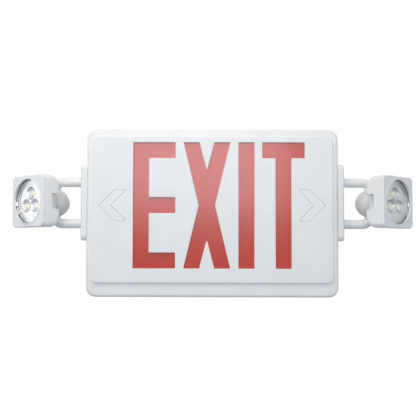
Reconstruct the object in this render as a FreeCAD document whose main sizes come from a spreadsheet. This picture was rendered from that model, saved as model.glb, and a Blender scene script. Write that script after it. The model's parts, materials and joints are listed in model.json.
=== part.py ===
"""Emergency exit sign with two swivelling lamp heads on side arms.

Frame: X across the sign, Y towards the wall (the sign faces -Y), Z up. The wall plane is y = 0, and
the origin is the centre of the wall-screw pattern on the back plate. Millimetres throughout.
"""
import FreeCAD
import Part
import math
import os
import Sketcher
from FreeCAD import Placement, Rotation, Vector

ORIGIN_POINT = (-1, 1)
VERTICAL_AXIS, HORIZONTAL_AXIS = range(-2, 0)
START, END, CENTRE = range(1, 4)

# Driving dimensions: cell label, value in millimetres (or degrees), what it is.
DIMENSIONS = [
    ("housing_wide", 304.8, "front housing across"),
    ("housing_high", 203.2, "front housing height"),
    ("housing_deep", 43, "wall plane to the housing's front face"),
    ("housing_wall", 2.5, "moulded wall"),
    ("housing_corner", 12, "outer corner radius"),
    ("front_round", 3.5, "rounding of the housing's front edge"),
    ("plate_gap", 0.3, "clearance round a plate that drops into a frame"),
    ("back_thick", 2.5, "back plate"),
    ("rim_high", 6, "stiffening rim of the back plate"),
    ("rim_wall", 2, "thickness of that rim"),
    ("face_side", 6.9, "housing's side to the raised stencil plate"),
    ("face_above", 9.1, "housing's top to the raised stencil plate"),
    ("face_below", 17.1, "housing's underside to the raised stencil plate"),
    ("face_thick", 3, "raised stencil plate thickness"),
    ("face_corner", 7, "its corner radius"),
    ("face_bevel", 0.8, "bevel of its front edge"),
    ("window_side", 37.4, "housing's side to the light window behind the stencil"),
    ("window_above", 15.6, "housing's top to the light window"),
    ("window_below", 33.6, "housing's underside to the light window"),
    ("window_ledge", 4, "ledge that carries the red diffuser"),
    ("diffuser_thick", 2, "red diffuser sheet"),
    ("tray_deep", 12, "white light tray"),
    ("tray_wall", 1.2, "its wall"),
    ("tray_flare", 12, "flare of its sides, degrees"),
    ("strip_high", 10, "light strip board height"),
    ("strip_thick", 1.6, "light strip board thickness"),
    ("strip_end", 15, "light window's side to the end of the strip"),
    ("strip_count", 10, "number of its lamps"),
    ("chip_size", 3.5, "light-emitting package, square"),
    ("chip_high", 1.2, "its height"),
    ("boss_radius", 4, "screw boss radius"),
    ("boss_inset", 14, "corner boss centre in from the housing's outside"),
    ("boss_high", 3, "back plate boss height"),
    ("screw_radius", 1.5, "shank of a small screw"),
    ("screw_head_radius", 3, "its head"),
    ("screw_head_high", 1.8, "its head height"),
    ("screw_head_bevel", 0.9, "bevel of a pan head"),
    ("screw_gap", 0.05, "radial clearance of a screw in its hole"),
    ("cover_screw_long", 14, "shank of the cover screws"),
    ("wall_screw_radius", 2.4, "wall-screw hole radius"),
    ("wall_screw_pitch", 88.9, "distance between the two wall-screw holes"),
    ("wire_hole_radius", 11.1, "wire entry, a trade knock-out"),
    ("keyhole_in", 37.4, "housing's side to a keyhole"),
    ("keyhole_head", 4.6, "large end of a keyhole, radius"),
    ("keyhole_slot", 2.2, "narrow end of a keyhole, radius"),
    ("keyhole_drop", 9, "large end to narrow end"),
    ("board_wide", 110, "charger board across"),
    ("board_high", 64, "charger board height"),
    ("board_thick", 1.6, "circuit board thickness"),
    ("board_in", 82.4, "housing's right side to the charger board's centre"),
    ("board_down", 51.6, "housing's top to the charger board's centre"),
    ("standoff_high", 6, "posts that carry the charger board"),
    ("standoff_inset", 6, "post centre in from the board's corner"),
    ("core_wide", 34, "transformer core"),
    ("core_high", 28, "transformer core"),
    ("core_deep", 8, "transformer core stack"),
    ("bobbin_wide", 20, "transformer winding"),
    ("bobbin_high", 26, "transformer winding"),
    ("bobbin_deep", 15, "transformer winding"),
    ("capacitor_radius", 5, "electrolytic capacitor"),
    ("capacitor_high", 13, "electrolytic capacitor"),
    ("capacitor_pitch", 13, "capacitor spacing"),
    ("relay_wide", 19, "transfer relay"),
    ("relay_high", 15, "transfer relay"),
    ("relay_deep", 12, "transfer relay"),
    ("cell_radius", 7.25, "battery cell"),
    ("cell_long", 50, "battery cell"),
    ("cell_count", 3, "cells side by side in the pack"),
    ("battery_in", 67.4, "housing's left side to the battery's centre"),
    ("battery_up", 45.6, "housing's underside to the battery's centre"),
    ("clip_wall", 1.6, "battery clip wall"),
    ("clip_wide", 26, "battery clip width"),
    ("terminal_wide", 36, "terminal block"),
    ("terminal_high", 14, "terminal block"),
    ("terminal_deep", 12, "terminal block"),
    ("terminal_in", 82.4, "housing's left side to the terminal block's centre"),
    ("terminal_down", 56.6, "housing's top to the terminal block's centre"),
    ("terminal_pitch", 10, "spacing of its poles"),
    ("terminal_hole", 2.6, "screw well radius"),
    ("button_in", 72.4, "housing's right side to the test button"),
    ("button_radius", 4, "test button"),
    ("button_proud", 0.4, "button below the housing's underside"),
    ("button_stem", 2, "stem radius"),
    ("button_flange", 5.5, "retaining flange radius"),
    ("button_flange_high", 1.2, "retaining flange"),
    ("button_gap", 0.2, "clearance round the button"),
    ("button_travel", 1.2, "button stroke"),
    ("indicator_in", 56.4, "housing's right side to the power indicator"),
    ("indicator_radius", 2.4, "indicator light pipe"),
    ("indicator_flange", 3.4, "its flange radius"),
    ("indicator_led_radius", 1.5, "lamp above the light pipe"),
    ("indicator_led_high", 3.4, "lamp above the light pipe"),
    ("test_board_wide", 44, "small board over the button"),
    ("test_board_deep", 18, "small board over the button"),
    ("test_board_rise", 13.5, "its top above the housing's floor"),
    ("rail_thick", 2, "ribs that carry the small board"),
    ("switch_size", 6, "push switch, square"),
    ("switch_high", 3.5, "push switch"),
    ("plunger_radius", 1.75, "its plunger"),
    ("plunger_long", 2, "its plunger"),
    ("plunger_inside", 0.7, "length of the plunger inside the switch at rest"),
    ("arm_rise", 12.8, "arm centre above the housing's centre"),
    ("arm_inset", 23, "arm centre in front of the wall plane"),
    ("arm_spacing", 51, "distance between the two legs of an arm"),
    ("arm_reach", 40.7, "housing side to the arm's upright"),
    ("arm_inside", 4, "tube end inside the housing"),
    ("tube_radius", 5.75, "arm tube"),
    ("tube_wall", 1.2, "arm tube wall"),
    ("tube_bend", 7.5, "bend radius on the centreline"),
    ("tube_gap", 0.2, "radial clearance of the tube in its hole"),
    ("bracket_high", 92.7, "arm bracket"),
    ("bracket_deep", 36, "arm bracket"),
    ("bracket_thick", 7.4, "arm bracket stands off the housing's side"),
    ("bracket_wall", 2.5, "arm bracket wall"),
    ("bracket_corner", 6, "arm bracket corner radius"),
    ("bracket_round", 2, "rounding of its outer edge"),
    ("bracket_boss", 2.2, "wall of the bosses round the tubes"),
    ("bracket_screw_pitch", 76, "distance between its screws"),
    ("bracket_screw_inside", 3, "screw end inside the housing"),
    ("ball_radius", 16.8, "swivel ball"),
    ("ball_wall", 2.5, "swivel ball shell"),
    ("ball_hub_wall", 2.8, "collar round the tube, at the poles"),
    ("ball_hub_free", 8.6, "collar ends this far from the ball's centre"),
    ("ball_fit", 0.1, "radial clearance of the ball on the tube"),
    ("ball_boss_x", 10.9, "screw boss from the upright"),
    ("ball_boss_radius", 2.6, "screw boss"),
    ("ball_boss_deep", 9.5, "screw boss"),
    ("ball_screw_radius", 1.2, "screw that closes the ball"),
    ("ball_screw_head", 2, "its head radius"),
    ("ball_screw_head_high", 1.6, "its head height"),
    ("ball_screw_seat", 6, "head seat behind the split"),
    ("slot_half_wide", 2.3, "half width of the ball's tilt slot"),
    ("slot_half_high", 8.6, "half height of the ball's tilt slot"),
    ("left_turn", 42, "outward turn of the left lamp head, degrees"),
    ("right_turn", 43.5, "outward turn of the right lamp head, degrees"),
    ("head_size", 62, "lamp head, square"),
    ("head_corner", 6, "lamp head corner radius"),
    ("head_reach", 42.6, "ball centre to the lamp head's front"),
    ("head_deep", 26.9, "lamp head front to back"),
    ("head_round", 13, "rounding of its top and bottom towards the back"),
    ("head_wall", 2.6, "lamp head wall"),
    ("bezel_deep", 6.5, "front bezel"),
    ("bezel_front", 2.6, "bezel front wall"),
    ("bezel_round", 1.4, "rounding of the bezel's front edge"),
    ("seam_bevel", 0.35, "bevel each side of the seam between bezel and shell"),
    ("bead_start", 4.2, "groove round the bezel begins this far behind the front"),
    ("bead_wide", 0.6, "groove round the bezel"),
    ("bead_deep", 0.35, "groove round the bezel"),
    ("lens_border", 4.2, "lens opening in from the lamp head's side"),
    ("lens_lip", 0.9, "raised lip round the opening"),
    ("lens_lip_high", 0.5, "height of that lip"),
    ("lens_gap", 0.2, "clearance round the lens"),
    ("lens_flange", 1.4, "lens flange beyond the opening"),
    ("lens_thick", 1.4, "lens and flange thickness"),
    ("lens_proud", 0.8, "lens front ahead of its seat"),
    ("lens_bevel", 0.4, "bevel round the lens front"),
    ("notch_start", 14, "notch begins this far behind the front"),
    ("notch_high", 18.2, "notch across the head's back"),
    ("notch_floor", 2.2, "wall between the notch and the optics"),
    ("mark_wide", 4.3, "tool window in the shell's side, above and below the notch"),
    ("mark_high", 5.2, "tool window height"),
    ("mark_deep", 1.2, "tool window depth"),
    ("mark_gap", 1.3, "notch's edge to a tool window"),
    ("mark_back", 2.1, "shell's back to a tool window"),
    ("seat_half_wide", 17, "half width of the block that seats on the ball"),
    ("seat_rim", 13, "its rim in front of the ball's centre"),
    ("seat_gap", 0.3, "clearance between sliding spherical faces"),
    ("clamp_radius", 2, "clamp screw shank"),
    ("clamp_head", 3.6, "clamp screw head radius"),
    ("clamp_head_high", 2, "clamp screw head"),
    ("nut_thick", 2.6, "curved clamp nut"),
    ("nut_wide", 9, "curved clamp nut"),
    ("nut_high", 6, "curved clamp nut"),
    ("cup_count", 3, "light cups of the reflector"),
    ("cup_offset", 9.9, "cup centre from the lens axis"),
    ("cup_radius", 8.3, "cup mouth"),
    ("cup_throat", 2.8, "cup throat"),
    ("cup_floor", 1, "reflector floor"),
    ("bowl_wall", 1.6, "rim of the reflector's bowl"),
    ("bowl_deep", 2.4, "bowl in front of the cups"),
    ("reflector_deep", 6, "reflector"),
    ("led_board_gap", 1.2, "optics board edge from the shell wall"),
]


class Size:
    """A length that is both a number and the spreadsheet expression that gives it."""

    def __init__(self, value, text):
        self.value = value
        self.text = text

    def __add__(self, other):
        other = as_size(other)
        return Size(self.value + other.value, f"({self.text} + {other.text})")

    def __sub__(self, other):
        other = as_size(other)
        return Size(self.value - other.value, f"({self.text} - {other.text})")

    def __mul__(self, other):
        other = as_size(other)
        return Size(self.value * other.value, f"({self.text} * {other.text})")

    def __truediv__(self, other):
        other = as_size(other)
        return Size(self.value / other.value, f"({self.text} / {other.text})")

    def __neg__(self):
        return Size(-self.value, f"(0 - {self.text})")

    __radd__ = __add__
    __rmul__ = __mul__


def as_size(number):
    """Give a plain number the form of a Size."""
    if isinstance(number, Size):
        return number
    return Size(float(number), f"{number:g}")


def free(estimate):
    """Give a coordinate that the sketch solves for itself, with a first estimate."""
    return Size(as_size(estimate).value, None)


def root(size):
    """Give the square root of a Size."""
    return Size(math.sqrt(size.value), f"sqrt({size.text})")


doc = FreeCAD.newDocument("exit_light")
sheet = doc.addObject("Spreadsheet::Sheet", "dims")


def read_dimensions():
    """Fill the spreadsheet and return each dimension as a Size, by name."""
    sizes = {}
    for row, (name, value, meaning) in enumerate(DIMENSIONS, start=1):
        sheet.set(f"A{row}", name)
        sheet.set(f"B{row}", str(value))
        sheet.set(f"C{row}", meaning)
        sheet.setAlias(f"B{row}", name)
        sizes[name] = Size(float(value), f"dims.{name}")
    doc.recompute()
    return sizes


d = read_dimensions()
parts = []


# ---------------------------------------------------------------- modelling helpers

def new_body(label):
    """Start a sub-part."""
    body = doc.addObject("PartDesign::Body", label)
    body.Label = label
    parts.append(body)
    return body


def bind(target, name, size):
    """Tie a property to the spreadsheet."""
    size = as_size(size)
    setattr(target, name, size.value)
    target.setExpression(name, size.text)


def bind_count(target, name, size):
    """Tie a whole number to the spreadsheet."""
    setattr(target, name, int(size.value))
    target.setExpression(name, size.text)


def place(target, x=0, y=0, z=0, turn=None):
    """Set a sub-part down, turned about Z where a turn is given."""
    x, y, z = as_size(x), as_size(y), as_size(z)
    turned = Rotation(Vector(0, 0, 1), 0 if turn is None else turn.value)
    target.Placement = Placement(Vector(x.value, y.value, z.value), turned)
    target.setExpression("Placement.Base.x", x.text)
    target.setExpression("Placement.Base.y", y.text)
    target.setExpression("Placement.Base.z", z.text)
    if turn is not None:
        target.setExpression("Placement.Rotation.Angle", turn.text)


def sketch_on(body, role, name, offset=0):
    """Open a sketch on one of the body's origin planes, moved along the plane's normal.

    The normals are -Y for XZ_Plane, +X for YZ_Plane and +Z for XY_Plane.
    """
    sketch = body.newObject("Sketcher::SketchObject", f"{body.Label}_{name}")
    plane = [item for item in body.Origin.OriginFeatures if item.Role == role][0]
    sketch.AttachmentSupport = [(plane, "")]
    sketch.MapMode = "FlatFace"
    offset = as_size(offset)
    sketch.AttachmentOffset = Placement(Vector(0, 0, offset.value), Rotation())
    sketch.setExpression("AttachmentOffset.Base.z", offset.text)
    return sketch


def pin(sketch, geometry, end, x, y):
    """Hold a point of the sketch at x, y; a free coordinate is left to the solver."""
    for kind, size, axis in (("DistanceX", x, VERTICAL_AXIS), ("DistanceY", y, HORIZONTAL_AXIS)):
        if size.text is None:
            continue
        if size.text == "0":
            sketch.addConstraint(Sketcher.Constraint("PointOnObject", geometry, end, axis))
            continue
        index = sketch.addConstraint(Sketcher.Constraint(kind, *ORIGIN_POINT, geometry, end, size.value))
        sketch.setExpression(f"Constraints[{index}]", size.text)


def circle(sketch, x, y, radius):
    """Add a circle with a bound centre and radius."""
    x, y, radius = as_size(x), as_size(y), as_size(radius)
    centre = Vector(x.value, y.value, 0)
    geometry = sketch.addGeometry(Part.Circle(centre, Vector(0, 0, 1), radius.value), False)
    pin(sketch, geometry, CENTRE, x, y)
    index = sketch.addConstraint(Sketcher.Constraint("Radius", geometry, radius.value))
    sketch.setExpression(f"Constraints[{index}]", radius.text)


def outline(sketch, points, arcs=None, closed=True):
    """Draw a chain of lines and arcs through points.

    arcs maps the number of a stretch to (centre x, centre y, clockwise): that stretch is an arc.
    """
    arcs = arcs or {}
    points = [(as_size(x), as_size(y)) for x, y in points]
    count = len(points) if closed else len(points) - 1
    tails, heads = [], []
    for step in range(count):
        first = Vector(points[step][0].value, points[step][1].value, 0)
        following = points[(step + 1) % len(points)]
        last = Vector(following[0].value, following[1].value, 0)
        if step not in arcs:
            geometry = sketch.addGeometry(Part.LineSegment(first, last), False)
            tails.append((geometry, START))
            heads.append((geometry, END))
            continue
        centre_x, centre_y, clockwise = arcs[step]
        centre_x, centre_y = as_size(centre_x), as_size(centre_y)
        centre = Vector(centre_x.value, centre_y.value, 0)
        ring = Part.Circle(centre, Vector(0, 0, 1), (first - centre).Length)
        begin = math.atan2(first.y - centre.y, first.x - centre.x)
        finish = math.atan2(last.y - centre.y, last.x - centre.x)
        if clockwise:
            begin, finish = finish, begin
        geometry = sketch.addGeometry(Part.ArcOfCircle(ring, begin, finish), False)
        pin(sketch, geometry, CENTRE, centre_x, centre_y)
        tails.append((geometry, END if clockwise else START))
        heads.append((geometry, START if clockwise else END))
    for step in range(count):
        pin(sketch, *tails[step], *points[step])
        if closed or step + 1 < count:
            sketch.addConstraint(Sketcher.Constraint("Coincident", *heads[step], *tails[(step + 1) % count]))
    if not closed:
        pin(sketch, *heads[-1], *points[-1])


def rectangle(sketch, x, y, wide, high):
    """Draw a rectangle about a centre."""
    x, y = as_size(x), as_size(y)
    left, right = x - wide / 2, x + wide / 2
    low, top = y - high / 2, y + high / 2
    outline(sketch, [(left, low), (right, low), (right, top), (left, top)])


def rounded_rectangle(sketch, x, y, wide, high, radius):
    """Draw a rectangle with rounded corners about a centre."""
    x, y = as_size(x), as_size(y)
    left, right = x - wide / 2, x + wide / 2
    low, top = y - high / 2, y + high / 2
    points = [
        (left + radius, low), (right - radius, low), (right, low + radius), (right, top - radius),
        (right - radius, top), (left + radius, top), (left, top - radius), (left, low + radius),
    ]
    arcs = {
        1: (right - radius, free(low + radius), False),
        3: (right - radius, free(top - radius), False),
        5: (left + radius, free(top - radius), False),
        7: (left + radius, free(low + radius), False),
    }
    outline(sketch, points, arcs)


def pad(body, sketch, length, both=False, back=False):
    """Add material from a sketch: along its normal, against it (back) or half each way (both)."""
    feature = body.newObject("PartDesign::Pad", f"{sketch.Name}_pad")
    feature.Profile = sketch
    bind(feature, "Length", length)
    feature.SideType = "Symmetric" if both else "One side"
    feature.Reversed = back
    return feature


def pocket(body, sketch, length=None, both=False, along=False):
    """Remove material against a sketch's normal, along it or both ways; right through with no length."""
    feature = body.newObject("PartDesign::Pocket", f"{sketch.Name}_cut")
    feature.Profile = sketch
    if length is None:
        feature.Type = "ThroughAll"
    else:
        bind(feature, "Length", length)
    feature.SideType = "Symmetric" if both else "One side"
    feature.Reversed = along
    return feature


def revolve(body, sketch, kind="Revolution", axis="V_Axis", angle=360, back=False):
    """Turn a sketch about one of its axes, adding (Revolution) or removing (Groove) material."""
    feature = body.newObject(f"PartDesign::{kind}", f"{sketch.Name}_turn")
    feature.Profile = sketch
    feature.ReferenceAxis = (sketch, [axis])
    feature.Angle = angle
    feature.Reversed = back
    return feature


def edges_where(feature, test):
    """Name the edges of a feature whose points all pass a test."""
    doc.recompute()
    return [
        f"Edge{number}"
        for number, edge in enumerate(feature.Shape.Edges, start=1)
        if all(test(point) for point in edge.discretize(5))
    ]


def dress(body, kind, feature, names, size):
    """Fillet or chamfer the named edges of a feature."""
    dressed = body.newObject(f"PartDesign::{kind}", f"{feature.Name}_{kind.lower()}")
    dressed.Base = (feature, names)
    bind(dressed, "Radius" if kind == "Fillet" else "Size", size)
    return dressed


def same(first, second):
    """Compare two lengths within a hundredth of a millimetre."""
    return abs(first - second) < 0.01


# ---------------------------------------------------------------- shared places

inner_front = d["housing_deep"] - d["housing_wall"]
plate_wide = d["housing_wide"] - 2 * (d["housing_wall"] + d["plate_gap"])
plate_high = d["housing_high"] - 2 * (d["housing_wall"] + d["plate_gap"])
plate_corner = d["housing_corner"] - d["housing_wall"] - d["plate_gap"]
half_wide = d["housing_wide"] / 2
half_high = d["housing_high"] / 2
boss_x = half_wide - d["boss_inset"]
boss_z = half_high - d["boss_inset"]
corner_bosses = [(boss_x, boss_z), (-boss_x, boss_z), (-boss_x, -boss_z), (boss_x, -boss_z)]
boss_start = d["back_thick"] + d["boss_high"]
screw_hole = d["screw_radius"] + d["screw_gap"]
tube_hole = d["tube_radius"] + d["tube_gap"]
leg_offset = d["arm_spacing"] / 2
bracket_screw_offset = d["bracket_screw_pitch"] / 2
side_screw_heights = [d["arm_rise"] + bracket_screw_offset, d["arm_rise"] - bracket_screw_offset]
leg_heights = [d["arm_rise"] + leg_offset, d["arm_rise"] - leg_offset]
underside = -half_high
floor_inside = underside + d["housing_wall"]
test_board_top = floor_inside + d["test_board_rise"]
test_board_low = test_board_top - d["board_thick"]
switch_low = test_board_low - d["switch_high"]
plunger_tip = switch_low + d["plunger_inside"] - d["plunger_long"]
face_wide = d["housing_wide"] - 2 * d["face_side"]
face_high = d["housing_high"] - d["face_above"] - d["face_below"]
face_rise = (d["face_below"] - d["face_above"]) / 2
window_wide = d["housing_wide"] - 2 * d["window_side"]
window_high = d["housing_high"] - d["window_above"] - d["window_below"]
window_rise = (d["window_below"] - d["window_above"]) / 2
button_x = half_wide - d["button_in"]
indicator_x = half_wide - d["indicator_in"]
test_board_x = (button_x + indicator_x) / 2
board_x = half_wide - d["board_in"]
board_z = half_high - d["board_down"]
post_x = d["board_wide"] / 2 - d["standoff_inset"]
post_z = d["board_high"] / 2 - d["standoff_inset"]
board_posts = [
    (board_x + across * post_x, board_z + up * post_z)
    for across, up in ((1, 1), (-1, 1), (-1, -1), (1, -1))
]
board_back = d["back_thick"] + d["standoff_high"]
board_front = board_back + d["board_thick"]


# ---------------------------------------------------------------- the sign box

def make_housing():
    """Front housing: a moulded box, open at the back, with the light window in its front wall."""
    body = new_body("housing")
    block = sketch_on(body, "XZ_Plane", "block")
    rounded_rectangle(block, 0, 0, d["housing_wide"], d["housing_high"], d["housing_corner"])
    solid = pad(body, block, d["housing_deep"])
    front = edges_where(solid, lambda point: same(point.y, -d["housing_deep"].value))
    dress(body, "Fillet", solid, front, d["front_round"])

    hollow = sketch_on(body, "XZ_Plane", "hollow")
    inside_wide = d["housing_wide"] - 2 * d["housing_wall"]
    inside_high = d["housing_high"] - 2 * d["housing_wall"]
    inside_corner = d["housing_corner"] - d["housing_wall"]
    rounded_rectangle(hollow, 0, 0, inside_wide, inside_high, inside_corner)
    pocket(body, hollow, inner_front, along=True)

    window = sketch_on(body, "XZ_Plane", "window")
    rectangle(window, 0, window_rise, window_wide, window_high)
    pocket(body, window, along=True)
    ledge = sketch_on(body, "XZ_Plane", "ledge", d["housing_deep"])
    ledge_wide = window_wide + 2 * d["window_ledge"]
    ledge_high = window_high + 2 * d["window_ledge"]
    rectangle(ledge, 0, window_rise, ledge_wide, ledge_high)
    pocket(body, ledge, d["diffuser_thick"])

    bosses = sketch_on(body, "XZ_Plane", "bosses", boss_start)
    pilots = sketch_on(body, "XZ_Plane", "pilots", boss_start)
    for x, z in corner_bosses:
        circle(bosses, x, z, d["boss_radius"])
        circle(pilots, x, z, screw_hole)
    pad(body, bosses, inner_front - boss_start)
    pocket(body, pilots, d["cover_screw_long"], along=True)

    rails = sketch_on(body, "XY_Plane", "rails", floor_inside)
    rail_offset = d["test_board_wide"] / 2 - d["rail_thick"] / 2
    for side in (-1, 1):
        rectangle(rails, test_board_x + side * rail_offset, -d["arm_inset"], d["rail_thick"], d["test_board_deep"])
    pad(body, rails, test_board_low - floor_inside)

    sides = sketch_on(body, "YZ_Plane", "side_holes")
    for height in leg_heights:
        circle(sides, -d["arm_inset"], height, tube_hole)
    for height in side_screw_heights:
        circle(sides, -d["arm_inset"], height, screw_hole)
    pocket(body, sides, both=True)

    below = sketch_on(body, "XY_Plane", "underside_holes", underside)
    circle(below, button_x, -d["arm_inset"], d["button_radius"] + d["button_gap"])
    circle(below, indicator_x, -d["arm_inset"], d["indicator_radius"] + d["button_gap"])
    pocket(body, below, d["housing_wall"], along=True)


def make_back_plate():
    """Back plate: closes the housing, carries the parts inside and screws to the wall."""
    body = new_body("back_plate")
    sheet_sketch = sketch_on(body, "XZ_Plane", "sheet")
    rounded_rectangle(sheet_sketch, 0, 0, plate_wide, plate_high, plate_corner)
    pad(body, sheet_sketch, d["back_thick"])
    rim = sketch_on(body, "XZ_Plane", "rim", d["back_thick"])
    rounded_rectangle(rim, 0, 0, plate_wide, plate_high, plate_corner)
    inner = 2 * d["rim_wall"]
    rounded_rectangle(rim, 0, 0, plate_wide - inner, plate_high - inner, plate_corner - d["rim_wall"])
    pad(body, rim, d["rim_high"])

    posts = sketch_on(body, "XZ_Plane", "posts", d["back_thick"])
    for x, z in board_posts:
        circle(posts, x, z, d["boss_radius"])
    pad(body, posts, d["standoff_high"])
    bosses = sketch_on(body, "XZ_Plane", "bosses", d["back_thick"])
    holes = sketch_on(body, "XZ_Plane", "holes")
    heads = sketch_on(body, "XZ_Plane", "head_recesses")
    for x, z in corner_bosses:
        circle(bosses, x, z, d["boss_radius"])
        circle(holes, x, z, screw_hole)
        circle(heads, x, z, d["screw_head_radius"] + d["plate_gap"])
    pad(body, bosses, d["boss_high"])

    circle(holes, 0, 0, d["wire_hole_radius"])
    for side in (-1, 1):
        circle(holes, side * d["wall_screw_pitch"] / 2, 0, d["wall_screw_radius"])
    pocket(body, holes, along=True)
    pocket(body, heads, d["screw_head_high"] + d["plate_gap"], along=True)

    keyholes = sketch_on(body, "XZ_Plane", "keyhole_heads")
    slots = sketch_on(body, "XZ_Plane", "keyhole_slots")
    slot, drop = d["keyhole_slot"], d["keyhole_drop"]
    for side in (-1, 1):
        x = side * (half_wide - d["keyhole_in"])
        circle(keyholes, x, 0, d["keyhole_head"])
        points = [(x - slot, 0), (x + slot, 0), (x + slot, drop), (x - slot, drop)]
        outline(slots, points, {2: (free(x), drop, False)})
    pocket(body, keyholes, along=True)
    pocket(body, slots, along=True)


def make_face_plate():
    """Raised stencil plate on the front, which holds the diffuser in its recess."""
    body = new_body("face_plate")
    plate = sketch_on(body, "XZ_Plane", "plate", d["housing_deep"])
    rounded_rectangle(plate, 0, face_rise, face_wide, face_high, d["face_corner"])
    solid = pad(body, plate, d["face_thick"])
    front = d["housing_deep"].value + d["face_thick"].value
    edges = edges_where(solid, lambda point: same(point.y, -front))
    dress(body, "Chamfer", solid, edges, d["face_bevel"])


def make_diffuser():
    """Red diffuser sheet in the housing's recess."""
    body = new_body("red_diffuser")
    sheet_sketch = sketch_on(body, "XZ_Plane", "sheet", d["housing_deep"] - d["diffuser_thick"])
    trim = 2 * (d["window_ledge"] - d["plate_gap"])
    rectangle(sheet_sketch, 0, window_rise, window_wide + trim, window_high + trim)
    pad(body, sheet_sketch, d["diffuser_thick"])


def make_light_tray():
    """White tray behind the window: flared sides throw the light forward."""
    body = new_body("light_tray")
    floor_at = inner_front - d["tray_deep"]
    outer = sketch_on(body, "XZ_Plane", "outer", inner_front)
    flange = 2 * d["window_ledge"]
    rectangle(outer, 0, window_rise, window_wide + flange, window_high + flange)
    solid = pad(body, outer, d["tray_deep"], back=True)
    bind(solid, "TaperAngle", -d["tray_flare"])
    hollow = sketch_on(body, "XZ_Plane", "hollow", inner_front)
    wall = 2 * d["tray_wall"]
    inside_wide = window_wide + flange - wall
    rectangle(hollow, 0, window_rise, inside_wide, window_high + flange - wall)
    cut = pocket(body, hollow, d["tray_deep"] - d["tray_wall"])
    bind(cut, "TaperAngle", -d["tray_flare"])
    return floor_at + d["tray_wall"]


def make_light_strip(tray_floor):
    """Strip board along the tray's floor, with its row of lamps."""
    board = new_body("sign_led_board")
    strip = sketch_on(board, "XZ_Plane", "strip", tray_floor)
    strip_long = window_wide - 2 * d["strip_end"]
    strip_pitch = strip_long / d["strip_count"]
    rectangle(strip, 0, window_rise, strip_long, d["strip_high"])
    pad(board, strip, d["strip_thick"])

    lamps = new_body("sign_leds")
    chip = sketch_on(lamps, "XZ_Plane", "chip", tray_floor + d["strip_thick"])
    rectangle(chip, (strip_pitch - strip_long) / 2, window_rise, d["chip_size"], d["chip_size"])
    first = pad(lamps, chip, d["chip_high"])
    row = lamps.newObject("PartDesign::LinearPattern", "sign_leds_row")
    row.Originals = [first]
    row.Direction = (chip, ["H_Axis"])
    bind(row, "Length", strip_long - strip_pitch)
    bind_count(row, "Occurrences", d["strip_count"])
    lamps.Tip = row


def make_cover_screws():
    """Four screws from behind that hold the back plate to the housing."""
    body = new_body("cover_screws")
    head_start = d["plate_gap"]
    heads = sketch_on(body, "XZ_Plane", "heads", head_start)
    shanks = sketch_on(body, "XZ_Plane", "shanks", head_start + d["screw_head_high"])
    for x, z in corner_bosses:
        circle(heads, x, z, d["screw_head_radius"])
        circle(shanks, x, z, d["screw_radius"])
    pad(body, heads, d["screw_head_high"])
    pad(body, shanks, d["cover_screw_long"])


def make_charger():
    """Charger board on its posts, with transformer, capacitors and relay."""
    board = new_body("charger_board")
    sheet_sketch = sketch_on(board, "XZ_Plane", "sheet", board_back)
    rectangle(sheet_sketch, board_x, board_z, d["board_wide"], d["board_high"])
    for x, z in board_posts:
        circle(sheet_sketch, x, z, d["screw_radius"])
    pad(board, sheet_sketch, d["board_thick"])

    transformer = new_body("transformer")
    core_x = board_x + d["board_wide"] / 4
    winding = sketch_on(transformer, "XZ_Plane", "winding", board_front)
    rectangle(winding, core_x, board_z, d["bobbin_wide"], d["bobbin_high"])
    pad(transformer, winding, d["bobbin_deep"])
    core_start = board_front + (d["bobbin_deep"] - d["core_deep"]) / 2
    core = sketch_on(transformer, "XZ_Plane", "core", core_start)
    rectangle(core, core_x, board_z, d["core_wide"], d["core_high"])
    pad(transformer, core, d["core_deep"])

    capacitors = new_body("capacitors")
    cans = sketch_on(capacitors, "XZ_Plane", "cans", board_front)
    row_x = board_x - d["board_wide"] / 4
    row_z = board_z + d["board_high"] / 4
    for step in (-1, 0, 1):
        circle(cans, row_x + step * d["capacitor_pitch"], row_z, d["capacitor_radius"])
    pad(capacitors, cans, d["capacitor_high"])

    relay = new_body("transfer_relay")
    case = sketch_on(relay, "XZ_Plane", "case", board_front)
    rectangle(case, row_x, board_z - d["board_high"] / 4, d["relay_wide"], d["relay_high"])
    pad(relay, case, d["relay_deep"])


def make_battery():
    """Shrink-wrapped pack of cells in a sprung clip on the back plate."""
    battery_x = d["battery_in"] - half_wide
    battery_z = d["battery_up"] - half_high
    pack = new_body("battery_pack")
    pack_high = 2 * d["cell_count"] * d["cell_radius"]
    pack_middle = d["back_thick"] + d["clip_wall"] + d["cell_radius"]
    section = sketch_on(pack, "YZ_Plane", "section", battery_x)
    low = battery_z - pack_high / 2 + d["cell_radius"]
    top = battery_z + pack_high / 2 - d["cell_radius"]
    near, far = -pack_middle - d["cell_radius"], -pack_middle + d["cell_radius"]
    points = [(near, low), (far, low), (far, top), (near, top)]
    arcs = {0: (free(-pack_middle), low, False), 2: (free(-pack_middle), top, False)}
    outline(section, points, arcs)
    pad(pack, section, d["cell_long"], both=True)

    clip = new_body("battery_clip")
    profile = sketch_on(clip, "YZ_Plane", "profile", battery_x)
    gap = d["plate_gap"]
    wall = d["clip_wall"]
    base = -d["back_thick"]
    inside_low = battery_z - pack_high / 2 - gap
    inside_top = battery_z + pack_high / 2 + gap
    hook = near - gap
    lip = d["cell_radius"] / 2
    outline(profile, [
        (base, inside_low - wall), (base, inside_top + wall), (hook - wall, inside_top + wall),
        (hook - wall, inside_top - lip), (hook, inside_top - lip), (hook, inside_top),
        (base - wall, inside_top), (base - wall, inside_low), (hook, inside_low),
        (hook, inside_low + lip), (hook - wall, inside_low + lip), (hook - wall, inside_low - wall),
    ])
    pad(clip, profile, d["clip_wide"], both=True)


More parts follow.
